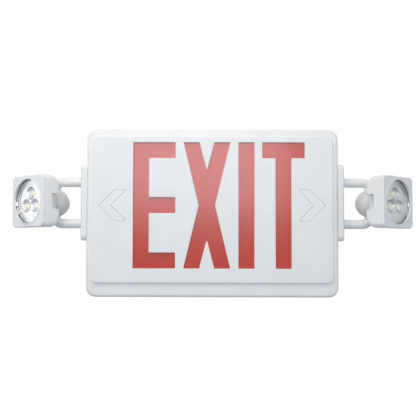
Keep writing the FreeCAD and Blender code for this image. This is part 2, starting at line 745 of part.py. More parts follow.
def make_terminal_block():
    """Mains terminal block with a screw well for each pole."""
    block_x = d["terminal_in"] - half_wide
    block_z = half_high - d["terminal_down"]
    body = new_body("terminal_block")
    block = sketch_on(body, "XZ_Plane", "block", d["back_thick"])
    rectangle(block, block_x, block_z, d["terminal_wide"], d["terminal_high"])
    pad(body, block, d["terminal_deep"])
    wells = sketch_on(body, "XZ_Plane", "wells", d["back_thick"] + d["terminal_deep"])
    for step in (-1, 0, 1):
        circle(wells, block_x + step * d["terminal_pitch"], block_z, d["terminal_hole"])
    pocket(body, wells, d["terminal_deep"] / 2)


def make_test_switch():
    """Small board over the underside, with the push switch, its plunger, the button and indicator."""
    middle_y = -d["arm_inset"]
    board = new_body("test_board")
    sheet_sketch = sketch_on(board, "XY_Plane", "sheet", test_board_low)
    rectangle(sheet_sketch, test_board_x, middle_y, d["test_board_wide"], d["test_board_deep"])
    pad(board, sheet_sketch, d["board_thick"])

    switch = new_body("push_switch")
    case = sketch_on(switch, "XY_Plane", "case", switch_low)
    rectangle(case, button_x, middle_y, d["switch_size"], d["switch_size"])
    pad(switch, case, d["switch_high"])
    bore = sketch_on(switch, "XY_Plane", "bore", switch_low)
    circle(bore, button_x, middle_y, d["plunger_radius"] + d["button_gap"])
    pocket(switch, bore, d["plunger_inside"] + d["button_travel"] + d["button_gap"], along=True)

    plunger = new_body("switch_plunger")
    rod = sketch_on(plunger, "XY_Plane", "rod", plunger_tip)
    circle(rod, button_x, middle_y, d["plunger_radius"])
    pad(plunger, rod, d["plunger_long"])

    button = new_body("test_button")
    face = underside - d["button_proud"]
    flange_low = floor_inside + d["button_gap"]
    flange_top = flange_low + d["button_flange_high"]
    profile = sketch_on(button, "XZ_Plane", "profile")
    outline(profile, [
        (0, face), (d["button_radius"], face), (d["button_radius"], flange_low),
        (d["button_flange"], flange_low), (d["button_flange"], flange_top),
        (d["button_stem"], flange_top), (d["button_stem"], plunger_tip), (0, plunger_tip),
    ])
    revolve(button, profile)
    place(button, button_x, middle_y)

    lamp = new_body("indicator_led")
    lamp_low = test_board_low - d["indicator_led_high"]
    can = sketch_on(lamp, "XY_Plane", "can", lamp_low)
    circle(can, indicator_x, middle_y, d["indicator_led_radius"])
    pad(lamp, can, d["indicator_led_high"])

    pipe = new_body("indicator_lens")
    radius = d["indicator_radius"]
    pipe_top = lamp_low - d["button_gap"]
    flange_top = floor_inside + d["button_flange_high"]
    profile = sketch_on(pipe, "XZ_Plane", "profile")
    outline(profile, [
        (0, face), (radius - d["button_proud"], face), (radius, underside), (radius, floor_inside),
        (d["indicator_flange"], floor_inside), (d["indicator_flange"], flange_top),
        (radius, flange_top), (radius, pipe_top), (0, pipe_top),
    ])
    revolve(pipe, profile)
    place(pipe, indicator_x, middle_y)


# ---------------------------------------------------------------- arms and swivel balls

def set_on_side(body, side):
    """Set a piece on the housing's side; its own +X points away from the housing."""
    turn = Size(180.0, "180") if side < 0 else None
    place(body, side * d["housing_wide"] / 2, -d["arm_inset"], d["arm_rise"], turn)


def make_bracket(hand, side):
    """Moulded bracket on the housing's side, hollow behind, with a boss round each tube."""
    body = new_body(f"{hand}_bracket")
    block = sketch_on(body, "YZ_Plane", "block")
    rounded_rectangle(block, 0, 0, d["bracket_deep"], d["bracket_high"], d["bracket_corner"])
    solid = pad(body, block, d["bracket_thick"])
    outer = edges_where(solid, lambda point: same(point.x, d["bracket_thick"].value))
    dress(body, "Fillet", solid, outer, d["bracket_round"])
    hollow = sketch_on(body, "YZ_Plane", "hollow")
    wall = 2 * d["bracket_wall"]
    inner_corner = d["bracket_corner"] - d["bracket_wall"]
    rounded_rectangle(hollow, 0, 0, d["bracket_deep"] - wall, d["bracket_high"] - wall, inner_corner)
    depth = d["bracket_thick"] - d["bracket_wall"]
    pocket(body, hollow, depth, along=True)
    bosses = sketch_on(body, "YZ_Plane", "bosses")
    holes = sketch_on(body, "YZ_Plane", "holes")
    for end in (-1, 1):
        circle(bosses, 0, end * leg_offset, tube_hole + d["bracket_boss"])
        circle(holes, 0, end * leg_offset, tube_hole)
        circle(bosses, 0, end * bracket_screw_offset, d["screw_radius"] + d["bracket_boss"])
        circle(holes, 0, end * bracket_screw_offset, screw_hole)
    pad(body, bosses, depth)
    pocket(body, holes, along=True)
    set_on_side(body, side)


def make_bracket_screws(hand, side):
    """Two screws through the bracket into the housing's side."""
    body = new_body(f"{hand}_bracket_screws")
    inside = d["housing_wall"] + d["bracket_screw_inside"]
    shanks = sketch_on(body, "YZ_Plane", "shanks", -inside)
    heads = sketch_on(body, "YZ_Plane", "heads", d["bracket_thick"])
    for end in (-1, 1):
        circle(shanks, 0, end * bracket_screw_offset, d["screw_radius"])
        circle(heads, 0, end * bracket_screw_offset, d["screw_head_radius"])
    pad(body, shanks, inside + d["bracket_thick"])
    solid = pad(body, heads, d["screw_head_high"])
    face = d["bracket_thick"].value + d["screw_head_high"].value
    rims = edges_where(solid, lambda point: same(point.x, face))
    dress(body, "Chamfer", solid, rims, d["screw_head_bevel"])
    set_on_side(body, side)


def make_arm_loop(hand, side):
    """Arm: one tube bent into a square loop, both ends through the bracket into the housing."""
    body = new_body(f"{hand}_arm_loop")
    inside = -(d["housing_wall"] + d["arm_inside"])
    reach, bend = d["arm_reach"], d["tube_bend"]
    path = sketch_on(body, "XZ_Plane", "path")
    points = [
        (inside, leg_offset), (reach - bend, leg_offset), (reach, leg_offset - bend),
        (reach, bend - leg_offset), (reach - bend, -leg_offset), (inside, -leg_offset),
    ]
    arcs = {
        1: (reach - bend, free(leg_offset - bend), True),
        3: (reach - bend, free(bend - leg_offset), True),
    }
    outline(path, points, arcs, closed=False)
    section = sketch_on(body, "YZ_Plane", "section", inside)
    circle(section, 0, leg_offset, d["tube_radius"])
    circle(section, 0, leg_offset, d["tube_radius"] - d["tube_wall"])
    tube = body.newObject("PartDesign::AdditivePipe", f"{hand}_arm_loop_tube")
    tube.Profile = section
    tube.Spine = (path, [])
    set_on_side(body, side)


def set_on_ball(body, side):
    """Set a piece at the ball's centre; its own -Y points the way the lamp head faces."""
    ball_x = d["housing_wide"] / 2 + d["arm_reach"]
    turn = d["left_turn"] if side < 0 else d["right_turn"]
    place(body, side * ball_x, -d["arm_inset"], d["arm_rise"], side * turn)


def make_ball_half(hand, side, front):
    """Half of the hollow swivel ball, with the collars that clamp on the tube at its poles.

    The front half is a sphere inside as well, where the clamp nut slides; the rear half is cored straight.
    """
    body = new_body(f"{hand}_ball_{'front' if front else 'rear'}")
    outer, inner = d["ball_radius"], d["ball_radius"] - d["ball_wall"]
    bore = d["tube_radius"] + d["ball_fit"]
    collar = bore + d["ball_hub_wall"]
    rise = d["ball_hub_free"]
    pole = free(root(outer * outer - bore * bore))
    profile = sketch_on(body, "XZ_Plane", "profile")
    if front:
        shoulder = free(root(inner * inner - collar * collar))
        inside = [(collar, free(-shoulder.value)), (collar, shoulder)]
        arcs, rounds = {2: (0, 0, False), 6: (0, 0, True)}, ((2, inner), (6, outer))
    else:
        shoulder = root(inner * inner - collar * collar)
        waist = inner * math.cos(math.radians(30))
        inside = [(collar, -shoulder), (waist, -(inner / 2)), (waist, inner / 2), (collar, shoulder)]
        arcs, rounds = {8: (0, 0, True)}, ((8, outer),)
    outline(profile, [
        (bore, -rise), (collar, -rise), *inside, (collar, rise), (bore, rise), (bore, pole),
        (bore, free(-pole.value)),
    ], arcs)
    for stretch, radius in rounds:
        index = profile.addConstraint(Sketcher.Constraint("Radius", stretch, radius.value))
        profile.setExpression(f"Constraints[{index}]", radius.text)
    revolve(body, profile, angle=180, back=front)

    bosses = sketch_on(body, "XZ_Plane", "bosses")
    holes = sketch_on(body, "XZ_Plane", "holes")
    for end in (-1, 1):
        circle(bosses, end * d["ball_boss_x"], 0, d["ball_boss_radius"])
        circle(holes, end * d["ball_boss_x"], 0, d["ball_screw_radius"] + d["screw_gap"])
    pad(body, bosses, d["ball_boss_deep"], back=not front)
    pocket(body, holes, d["ball_screw_seat"], along=front)
    if front:
        slot = sketch_on(body, "XZ_Plane", "slot")
        rectangle(slot, 0, 0, 2 * d["slot_half_wide"], 2 * d["slot_half_high"])
        pocket(body, slot, along=True)
    else:
        heads = sketch_on(body, "XZ_Plane", "heads", -d["ball_radius"])
        for end in (-1, 1):
            circle(heads, end * d["ball_boss_x"], 0, d["ball_screw_head"] + d["screw_gap"])
        pocket(body, heads, d["ball_radius"] - d["ball_screw_seat"], along=True)
    set_on_ball(body, side)


def make_ball_screws(hand, side):
    """Two screws from behind that draw the halves of the ball together on the tube."""
    body = new_body(f"{hand}_ball_screws")
    seat = d["ball_screw_seat"]
    tip = seat - d["screw_gap"]
    shanks = sketch_on(body, "XZ_Plane", "shanks", -seat)
    heads = sketch_on(body, "XZ_Plane", "heads", -seat)
    for end in (-1, 1):
        circle(shanks, end * d["ball_boss_x"], 0, d["ball_screw_radius"])
        circle(heads, end * d["ball_boss_x"], 0, d["ball_screw_head"])
    pad(body, shanks, seat + tip)
    pad(body, heads, d["ball_screw_head_high"], back=True)
    set_on_ball(body, side)


# ---------------------------------------------------------------- lamp heads

half_head = d["head_size"] / 2
head_front = -d["head_reach"]
head_seam = head_front + d["bezel_deep"]
head_back = head_front + d["head_deep"]
notch_at = head_front + d["notch_start"]
optics_back = notch_at - d["notch_floor"]
lens_radius = half_head - d["lens_border"]
lens_seat = head_front + d["bezel_front"]
lens_back = lens_seat + d["lens_thick"]
flange_radius = lens_radius + d["lens_flange"]
reflector_back = lens_back + d["reflector_deep"]


def make_head_shell(hand, side):
    """Rear shell of a lamp head: rounded back, notch across it and the block that seats on the ball."""
    body = new_body(f"{hand}_head_shell")
    round_start = head_back - d["head_round"]
    low_arc = half_head - d["head_round"]
    profile = sketch_on(body, "YZ_Plane", "profile")
    outline(profile, [
        (head_seam, half_head), (round_start, half_head), (head_back, low_arc),
        (head_back, -low_arc), (round_start, -half_head), (head_seam, -half_head),
    ], {1: (round_start, free(low_arc), True), 3: (round_start, free(-low_arc), True)})
    solid = pad(body, profile, d["head_size"], both=True)
    edge = half_head.value
    seam = head_seam.value
    corners = edges_where(solid, lambda point: same(abs(point.x), edge))
    seams = edges_where(solid, lambda point: same(point.y, seam))
    solid = dress(body, "Fillet", solid, [name for name in corners if name not in seams], d["head_corner"])
    seams = edges_where(solid, lambda point: same(point.y, seam))
    dress(body, "Chamfer", solid, seams, d["seam_bevel"])

    inner = half_head - d["head_wall"]
    inner_arc = d["head_round"] - d["head_wall"]
    inner_back = head_back - d["head_wall"]
    inner_low = inner - inner_arc
    step = d["notch_high"] / 2 + d["notch_floor"]
    cavity = sketch_on(body, "YZ_Plane", "cavity")
    outline(cavity, [
        (head_seam, inner), (round_start, inner), (inner_back, inner_low), (inner_back, step),
        (optics_back, step), (optics_back, -step), (inner_back, -step), (inner_back, -inner_low),
        (round_start, -inner), (head_seam, -inner),
    ], {1: (round_start, free(inner_low), True), 7: (round_start, free(-inner_low), True)})
    pocket(body, cavity, 2 * inner, both=True)

    notch = sketch_on(body, "YZ_Plane", "notch")
    notch_deep = head_back - notch_at
    rectangle(notch, notch_at + notch_deep, 0, 2 * notch_deep, d["notch_high"])
    pocket(body, notch, both=True)
    block = sketch_on(body, "XZ_Plane", "block", -notch_at)
    rectangle(block, 0, 0, 2 * d["seat_half_wide"], d["notch_high"])
    pad(body, block, -(notch_at + d["seat_rim"]), back=True)
    seat = sketch_on(body, "XZ_Plane", "seat")
    sphere = d["ball_radius"] + d["seat_gap"]
    outline(seat, [(0, -sphere), (0, sphere)], {0: (0, free(0), False)})
    revolve(body, seat, "Groove")
    mark_y = head_back - d["mark_back"] - d["mark_wide"] / 2
    mark_z = d["notch_high"] / 2 + d["mark_gap"] + d["mark_high"] / 2
    for name, wall_at, inward in (("left_marks", -half_head, True), ("right_marks", half_head, False)):
        marks = sketch_on(body, "YZ_Plane", name, wall_at)
        for height in (mark_z, -mark_z):
            rectangle(marks, mark_y, height, d["mark_wide"], d["mark_high"])
        pocket(body, marks, d["mark_deep"], along=inward)
    hole = sketch_on(body, "XZ_Plane", "hole", -optics_back)
    circle(hole, 0, 0, d["clamp_radius"] + d["screw_gap"])
    pocket(body, hole)
    recess = sketch_on(body, "XZ_Plane", "recess", -optics_back)
    circle(recess, 0, 0, d["clamp_head"] + d["plate_gap"])
    pocket(body, recess, d["clamp_head_high"])
    set_on_ball(body, side)


def make_head_bezel(hand, side):
    """Front bezel with a fine groove round it, the round lens opening and its raised lip."""
    body = new_body(f"{hand}_head_bezel")
    block = sketch_on(body, "XZ_Plane", "block", -head_seam)
    rounded_rectangle(block, 0, 0, d["head_size"], d["head_size"], d["head_corner"])
    solid = pad(body, block, d["bezel_deep"])
    front = edges_where(solid, lambda point: same(point.y, head_front.value))
    solid = dress(body, "Fillet", solid, front, d["bezel_round"])
    seams = edges_where(solid, lambda point: same(point.y, head_seam.value))
    dress(body, "Chamfer", solid, seams, d["seam_bevel"])
    bead = sketch_on(body, "XZ_Plane", "bead", -(head_front + d["bead_start"]))
    rectangle(bead, 0, 0, 2 * d["head_size"], 2 * d["head_size"])
    bead_size = d["head_size"] - 2 * d["bead_deep"]
    rounded_rectangle(bead, 0, 0, bead_size, bead_size, d["head_corner"] - d["bead_deep"])
    pocket(body, bead, d["bead_wide"])
    lip = sketch_on(body, "XZ_Plane", "lip", -head_front)
    circle(lip, 0, 0, lens_radius + d["lens_lip"])
    pad(body, lip, d["lens_lip_high"])
    hollow = sketch_on(body, "XZ_Plane", "hollow", -head_seam)
    wall = 2 * d["head_wall"]
    inside = d["head_size"] - wall
    rounded_rectangle(hollow, 0, 0, inside, inside, d["head_corner"] - d["head_wall"])
    pocket(body, hollow, d["bezel_deep"] - d["bezel_front"], along=True)
    opening = sketch_on(body, "XZ_Plane", "opening", -head_seam)
    circle(opening, 0, 0, lens_radius)
    pocket(body, opening, along=True)
    set_on_ball(body, side)


def make_lens(hand, side):
    """Clear lens: a flat window in the opening, with a flange behind the bezel."""
    body = new_body(f"{hand}_lens")
    edge = lens_radius - d["lens_gap"]
    profile = sketch_on(body, "XY_Plane", "profile")
    front = lens_seat - d["lens_proud"]
    outline(profile, [
        (0, front), (edge - d["lens_bevel"], front), (edge, front + d["lens_bevel"]), (edge, lens_seat),
        (flange_radius, lens_seat), (flange_radius, lens_back), (0, lens_back),
    ])
    revolve(body, profile)
    set_on_ball(body, side)


def make_reflector(hand, side):
    """Bright reflector behind the lens: a bowl with three light cups in its floor."""
    body = new_body(f"{hand}_reflector")
    disc = sketch_on(body, "XZ_Plane", "disc", -reflector_back)
    circle(disc, 0, 0, flange_radius)
    pad(body, disc, d["reflector_deep"])
    bowl = sketch_on(body, "XZ_Plane", "bowl", -lens_back)
    circle(bowl, 0, 0, flange_radius - d["bowl_wall"])
    pocket(body, bowl, d["bowl_deep"])
    bowl_floor = lens_back + d["bowl_deep"]
    mouth = sketch_on(body, "XZ_Plane", "mouth", -bowl_floor)
    circle(mouth, 0, d["cup_offset"], d["cup_radius"])
    cup_deep = d["reflector_deep"] - d["bowl_deep"] - d["cup_floor"]
    cup = pocket(body, mouth, cup_deep)
    slope = (d["cup_radius"] - d["cup_throat"]) / cup_deep
    bind(cup, "TaperAngle", Size(-math.degrees(math.atan(slope.value)), f"(0 - atan({slope.text}) / 1deg)"))
    throat = sketch_on(body, "XZ_Plane", "throat", -bowl_floor)
    circle(throat, 0, d["cup_offset"], d["cup_throat"])
    hole = pocket(body, throat)
    ring = body.newObject("PartDesign::PolarPattern", f"{hand}_reflector_ring")
    ring.Originals = [cup, hole]
    ring.Axis = (throat, ["N_Axis"])
    ring.Angle = 360
    bind_count(ring, "Occurrences", d["cup_count"])
    body.Tip = ring
    set_on_ball(body, side)


def make_head_lamps(hand, side):
    """Round lamp board behind the reflector, and its light-emitting packages."""
    board = new_body(f"{hand}_led_board")
    disc = sketch_on(board, "XZ_Plane", "disc", -(reflector_back + d["board_thick"]))
    circle(disc, 0, 0, half_head - d["head_wall"] - d["led_board_gap"])
    pad(board, disc, d["board_thick"])
    set_on_ball(board, side)

    lamps = new_body(f"{hand}_leds")
    chip = sketch_on(lamps, "XZ_Plane", "chip", -reflector_back)
    rectangle(chip, 0, d["cup_offset"], d["chip_size"], d["chip_size"])
    first = pad(lamps, chip, d["chip_high"])
    ring = lamps.newObject("PartDesign::PolarPattern", f"{hand}_leds_ring")
    ring.Originals = [first]
    ring.Axis = (chip, ["N_Axis"])
    ring.Angle = 360
    bind_count(ring, "Occurrences", d["cup_count"])
    lamps.Tip = ring
    set_on_ball(lamps, side)


def make_clamp(hand, side):
    """Clamp screw through the block, and the curved nut that it draws against the ball's inside."""
    screw = new_body(f"{hand}_clamp_screw")
    head_at = optics_back
    nut_front = -(d["ball_radius"] - d["ball_wall"] - d["seat_gap"])
    nut_back = nut_front + d["nut_thick"]
    profile = sketch_on(screw, "XY_Plane", "profile")
    neck = head_at + d["clamp_head_high"]
    outline(profile, [
        (0, head_at), (d["clamp_head"], head_at), (d["clamp_head"], neck), (d["clamp_radius"], neck),
        (d["clamp_radius"], nut_back), (0, nut_back),
    ])
    revolve(screw, profile)
    set_on_ball(screw, side)

    nut = new_body(f"{hand}_clamp_nut")
    block = sketch_on(nut, "XZ_Plane", "block", -nut_back)
    rectangle(block, 0, 0, d["nut_wide"], d["nut_high"])
    pad(nut, block, d["nut_thick"])
    curve = sketch_on(nut, "XZ_Plane", "curve")
    inside = -nut_front
    clear = inside + d["nut_thick"]
    edge = free(inside * 0.9)
    points = [(edge, -d["nut_high"]), (edge, d["nut_high"]), (clear, d["nut_high"]), (clear, -d["nut_high"])]
    outline(curve, points, {0: (0, 0, False)})
    index = curve.addConstraint(Sketcher.Constraint("Radius", 0, inside.value))
    curve.setExpression(f"Constraints[{index}]", inside.text)
    revolve(nut, curve, "Groove")
    hole = sketch_on(nut, "XZ_Plane", "hole", -nut_back)
    circle(hole, 0, 0, d["clamp_radius"] + d["screw_gap"])
    pocket(nut, hole, along=True)
    set_on_ball(nut, side)


def make_side(hand, side):
    """Everything on one side: bracket, arm, swivel ball and lamp head."""
    make_bracket(hand, side)
    make_bracket_screws(hand, side)
    make_arm_loop(hand, side)
    make_ball_half(hand, side, front=True)
    make_ball_half(hand, side, front=False)
    make_ball_screws(hand, side)
    make_head_shell(hand, side)
    make_head_bezel(hand, side)
    make_lens(hand, side)
    make_reflector(hand, side)
    make_head_lamps(hand, side)
    make_clamp(hand, side)


def export_parts():
    """Recompute, stop on any failed feature or bad shape, and write one file for each sub-part."""
    doc.recompute()
    failed = [
        f"{item.Label}: {item.getStatusString()}"
        for item in doc.Objects
        if "Invalid" in item.State or "Error" in item.State
    ]
    if failed:
        raise RuntimeError("failed: " + "; ".join(failed))
    os.makedirs("parts", exist_ok=True)
    for part in parts:
        shape = part.Shape
        if shape.isNull() or not shape.isValid() or not shape.Solids:
            raise RuntimeError(f"{part.Label} has no valid solid")
    for part in parts:
        part.Shape.exportStep(f"parts/{part.Label}.step")


make_housing()
make_back_plate()
make_face_plate()
make_diffuser()
make_light_strip(make_light_tray())
make_cover_screws()
make_charger()
make_battery()
make_terminal_block()
make_test_switch()
make_side("left", -1)
make_side("right", 1)
export_parts()
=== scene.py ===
"""Emergency exit sign on a pale studio ground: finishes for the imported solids, the stencil word and
arrows of the face, and the optics of the two lamp heads. Metres; millimetres are written N * MM.
"""
import json
import math

import bmesh
import bpy
from mathutils import Matrix, Vector


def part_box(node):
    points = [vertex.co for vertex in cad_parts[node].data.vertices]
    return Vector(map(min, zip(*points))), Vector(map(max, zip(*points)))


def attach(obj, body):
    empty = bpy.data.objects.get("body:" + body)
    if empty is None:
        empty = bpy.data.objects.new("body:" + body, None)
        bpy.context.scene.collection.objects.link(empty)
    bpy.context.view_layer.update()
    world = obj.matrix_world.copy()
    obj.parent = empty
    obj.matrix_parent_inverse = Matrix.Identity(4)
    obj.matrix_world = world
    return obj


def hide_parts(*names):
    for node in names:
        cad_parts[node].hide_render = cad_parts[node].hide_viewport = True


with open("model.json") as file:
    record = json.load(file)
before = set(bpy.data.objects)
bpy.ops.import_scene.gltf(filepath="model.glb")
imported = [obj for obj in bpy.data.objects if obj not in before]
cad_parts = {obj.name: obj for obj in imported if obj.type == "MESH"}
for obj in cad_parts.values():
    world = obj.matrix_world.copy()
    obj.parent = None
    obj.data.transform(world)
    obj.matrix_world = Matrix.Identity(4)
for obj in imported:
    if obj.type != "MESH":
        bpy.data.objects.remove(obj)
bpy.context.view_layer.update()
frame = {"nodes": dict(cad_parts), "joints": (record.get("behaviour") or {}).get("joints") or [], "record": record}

MM = 0.001
slots = {entry["slot"]: entry["base_color"] for entry in frame["record"]["materials"]}
joint_at = {entry["name"]: Vector(entry["pos_m"]) for entry in frame["joints"] if "pos_m" in entry}


# ---------------------------------------------------------------- materials

class Graph:
    """A material's node tree with short calls for the nodes that the finishes share."""

    def __init__(self, name):
        self.material = bpy.data.materials.new(name)
        self.material.use_nodes = True
        self.tree = self.material.node_tree
        self.tree.nodes.clear()
        self.output = self.node("OutputMaterial")
        self.place = self.node("TexCoord").outputs["Object"]

    def node(self, kind, **settings):
        made = self.tree.nodes.new("ShaderNode" + kind)
        for key, value in settings.items():
            if hasattr(made, key):
                setattr(made, key, value)
            else:
                made.inputs[key].default_value = value
        return made

    def link(self, source, target):
        self.tree.links.new(source, target)

    def noise(self, scale, detail=2.0, stretch=None):
        """Noise with `scale` blobs in a metre, from 0 to 1."""
        made = self.node("TexNoise", Scale=scale, Detail=detail)
        if stretch is None:
            self.link(self.place, made.inputs["Vector"])
        else:
            mapping = self.node("Mapping")
            mapping.inputs["Scale"].default_value = stretch
            self.link(self.place, mapping.inputs["Vector"])
            self.link(mapping.outputs["Vector"], made.inputs["Vector"])
        return made.outputs["Fac"]

    def remap(self, source, low, high):
        """Spread a noise's usual range over low to high."""
        made = self.node("MapRange")
        for name, value in (("From Min", 0.3), ("From Max", 0.7), ("To Min", low), ("To Max", high)):
            made.inputs[name].default_value = value
        self.link(source, made.inputs["Value"])
        return made.outputs["Result"]

    def blend(self, factor, first, second):
        """Mix two colours, given as tuples or sockets, by a socket."""
        made = self.node("Mix", data_type="RGBA")
        self.link(factor, made.inputs["Factor"])
        for socket, colour in ((made.inputs[6], first), (made.inputs[7], second)):
            if isinstance(colour, tuple):
                socket.default_value = (*colour, 1.0)
            else:
                self.link(colour, socket)
        return made.outputs[2]

    def bump(self, height, depth):
        """Turn a height from 0 to 1 into a relief of `depth` metres."""
        made = self.node("Bump", Distance=depth, Strength=1.0)
        self.link(height, made.inputs["Height"])
        return made.outputs["Normal"]

    def surface(self, **settings):
        """Add the Principled shader; its plain values are set on its own sockets."""
        shader = self.node("BsdfPrincipled")
        for name, value in settings.items():
            shader.inputs[name.replace("_", " ")].default_value = value
        self.link(shader.outputs["BSDF"], self.output.inputs["Surface"])
        return shader


def shade(colour, factor):
    """A colour made lighter or darker, held under white."""
    return tuple(min(channel * factor, 1.0) for channel in colour[:3])


def moulded(name, colour, rough=0.38, spread=0.025, grain=900.0, relief=0.012 * MM, **settings):
    """Moulded plastic: fine spark-eroded grain, faint flow mottling and an uneven sheen."""
    graph = Graph(name)
    shader = graph.surface(**settings)
    flow = graph.noise(22.0, 3.0)
    speck = graph.noise(grain, 2.0)
    tone = graph.blend(graph.remap(flow, 0.0, 1.0), shade(colour, 1.0 - spread), shade(colour, 1.0 + spread))
    fleck = graph.blend(graph.remap(speck, 0.0, 1.0), shade(colour, 1.0 - spread * 0.7), tone)
    graph.link(graph.blend(graph.remap(speck, 0.0, 0.5), tone, fleck), shader.inputs["Base Color"])
    graph.link(graph.remap(graph.noise(60.0, 3.0), rough - 0.06, rough + 0.06), shader.inputs["Roughness"])
    graph.link(graph.bump(speck, relief), shader.inputs["Normal"])
    return graph.material


def powder_coat(name, colour):
    """Powder-coated tube: smooth, with a low orange-peel relief."""
    graph = Graph(name)
    shader = graph.surface(Coat_Weight=0.25, Coat_Roughness=0.18)
    peel = graph.noise(420.0, 1.0)
    mottle = graph.remap(graph.noise(30.0, 2.0), 0.0, 1.0)
    graph.link(graph.blend(mottle, shade(colour, 0.975), shade(colour, 1.02)), shader.inputs["Base Color"])
    graph.link(graph.remap(peel, 0.27, 0.36), shader.inputs["Roughness"])
    graph.link(graph.bump(peel, 0.02 * MM), shader.inputs["Normal"])
    return graph.material


def metal(name, colour, rough=0.3, stretch=(1.0, 1.0, 1.0), relief=0.006 * MM):
    """Plated steel or bright metallising with faint drawing lines and uneven sheen."""
    graph = Graph(name)
    shader = graph.surface(Metallic=1.0)
    lines = graph.noise(700.0, 2.0, stretch)
    tone = graph.remap(graph.noise(90.0, 3.0), 0.0, 1.0)
    graph.link(graph.blend(tone, shade(colour, 0.9), shade(colour, 1.06)), shader.inputs["Base Color"])
    graph.link(graph.remap(lines, rough * 0.75, rough * 1.3), shader.inputs["Roughness"])
    graph.link(graph.bump(lines, relief), shader.inputs["Normal"])
    return graph.material


def red_acrylic(name, colour):
    """Translucent red sheet: deep colour under a polished face, faintly cloudy."""
    graph = Graph(name)
    shader = graph.surface()
    cloud = graph.remap(graph.noise(35.0, 4.0), 0.0, 1.0)
    graph.link(graph.blend(cloud, shade(colour, 0.94), shade(colour, 1.05)), shader.inputs["Base Color"])
    graph.link(graph.remap(graph.noise(140.0, 2.0), 0.17, 0.21), shader.inputs["Roughness"])
    graph.link(graph.bump(graph.noise(500.0, 1.0), 0.006 * MM), shader.inputs["Normal"])
    return graph.material


def circuit_board(name, colour):
    """Solder mask with traces showing through as slightly raised lines."""
    graph = Graph(name)
    shader = graph.surface(Coat_Weight=0.3, Coat_Roughness=0.15)
    trace = graph.node("TexBrick", Scale=90.0)
    trace.inputs["Mortar Size"].default_value = 0.05
    graph.link(graph.place, trace.inputs["Vector"])
    lines = trace.outputs["Fac"]
    graph.link(graph.blend(lines, shade(colour, 0.9), shade(colour, 1.5)), shader.inputs["Base Color"])
    graph.link(graph.remap(graph.noise(200.0, 2.0), 0.32, 0.45), shader.inputs["Roughness"])
    graph.link(graph.bump(lines, 0.03 * MM), shader.inputs["Normal"])
    return graph.material


def clear_plastic(name, tint, rough=0.03):
    """Clear polycarbonate that lets lamp light through to what lies behind it."""
    graph = Graph(name)
    shader = graph.surface(Transmission_Weight=1.0, IOR=1.5)
    shader.inputs["Base Color"].default_value = (*tint[:3], 1.0)
    haze = graph.noise(160.0, 2.0)
    graph.link(graph.remap(haze, rough, rough + 0.03), shader.inputs["Roughness"])
    graph.link(graph.bump(graph.noise(60.0, 1.0), 0.01 * MM), shader.inputs["Normal"])
    open_shader = graph.node("BsdfTransparent")
    open_shader.inputs["Color"].default_value = (0.94, 0.95, 0.95, 1.0)
    mixer = graph.node("MixShader")
    graph.link(graph.node("LightPath").outputs["Is Shadow Ray"], mixer.inputs[0])
    graph.link(shader.outputs["BSDF"], mixer.inputs[1])
    graph.link(open_shader.outputs["BSDF"], mixer.inputs[2])
    graph.link(mixer.outputs["Shader"], graph.output.inputs["Surface"])
    return graph.material


DIFFUSER_BASE = (0.57, 0.034, 0.014)      # deep red under the sheen
CHROME_TONE = 0.57                        # metallising, as a share of its slot's colour
# painted shade: the swivel balls take a darker copy of the heads' white, standing in for the shade the heads cast
# on them
BALL_SHADE_TONE = 0.8                           # swivel balls, as a share of the heads' white

materials = {
    "housing_white": moulded("housing_white", slots["housing_white"]),
    "face_white": moulded("face_white", slots["face_white"], rough=0.42, relief=0.015 * MM),
    "back_white": moulded("back_white", slots["back_white"], rough=0.5, grain=600.0, relief=0.03 * MM),
    "head_white": moulded("head_white", slots["head_white"], rough=0.33),
    "tube_white": powder_coat("tube_white", slots["tube_white"]),
    "diffuser_red": red_acrylic("diffuser_red", DIFFUSER_BASE),
    "tray_white": moulded("tray_white", slots["tray_white"], rough=0.3),
    "board_green": circuit_board("board_green", slots["board_green"]),
    "led_yellow": moulded("led_yellow", slots["led_yellow"], rough=0.3, spread=0.06, grain=3000.0),
    "core_steel": metal("core_steel", slots["core_steel"], 0.5, (1.0, 1.0, 12.0), 0.05 * MM),
    "capacitor_black": moulded("capacitor_black", slots["capacitor_black"], rough=0.25, spread=0.1),
    "relay_blue": moulded("relay_blue", slots["relay_blue"], rough=0.25, spread=0.05),
    "battery_wrap": moulded(
        "battery_wrap", slots["battery_wrap"], rough=0.22, spread=0.05, grain=150.0, relief=0.08 * MM
    ),
    "terminal_grey": moulded("terminal_grey", slots["terminal_grey"], rough=0.5, spread=0.04),
    "switch_black": moulded("switch_black", slots["switch_black"], rough=0.45, spread=0.1),
    "screw_steel": metal("screw_steel", slots["screw_steel"], 0.28),
    "button_grey": moulded("button_grey", slots["button_grey"], rough=0.25),
    "indicator_clear": clear_plastic("indicator_clear", slots["indicator_clear"], 0.12),
    "lens_clear": clear_plastic("lens_clear", slots["lens_clear"]),
    "reflector_chrome": metal(
        "reflector_chrome", shade(slots["reflector_chrome"], CHROME_TONE), 0.13, relief=0.03 * MM
    ),
    # painted shade: a darkened copy of the heads' white for the balls that sit in the heads' shade
    "ball_shaded_white": moulded("ball_shaded_white", shade(slots["head_white"], BALL_SHADE_TONE), rough=0.36),
    # painted highlight: a brighter white for the rounded edges of the plate and the letters
    "face_rim_highlight": moulded("face_rim_highlight", (0.97, 0.98, 0.99), rough=0.3, spread=0.01),
}
for entry in frame["record"]["subparts"]:
    mesh = frame["nodes"][entry["node"]].data
    # the balls get the darkened white, painted shade from their heads
    is_ball = entry["node"].endswith(("_ball_front", "_ball_rear"))
    mesh.materials.clear()
    mesh.materials.append(materials["ball_shaded_white" if is_ball else entry["material_slot"]])


# ---------------------------------------------------------------- mesh helpers

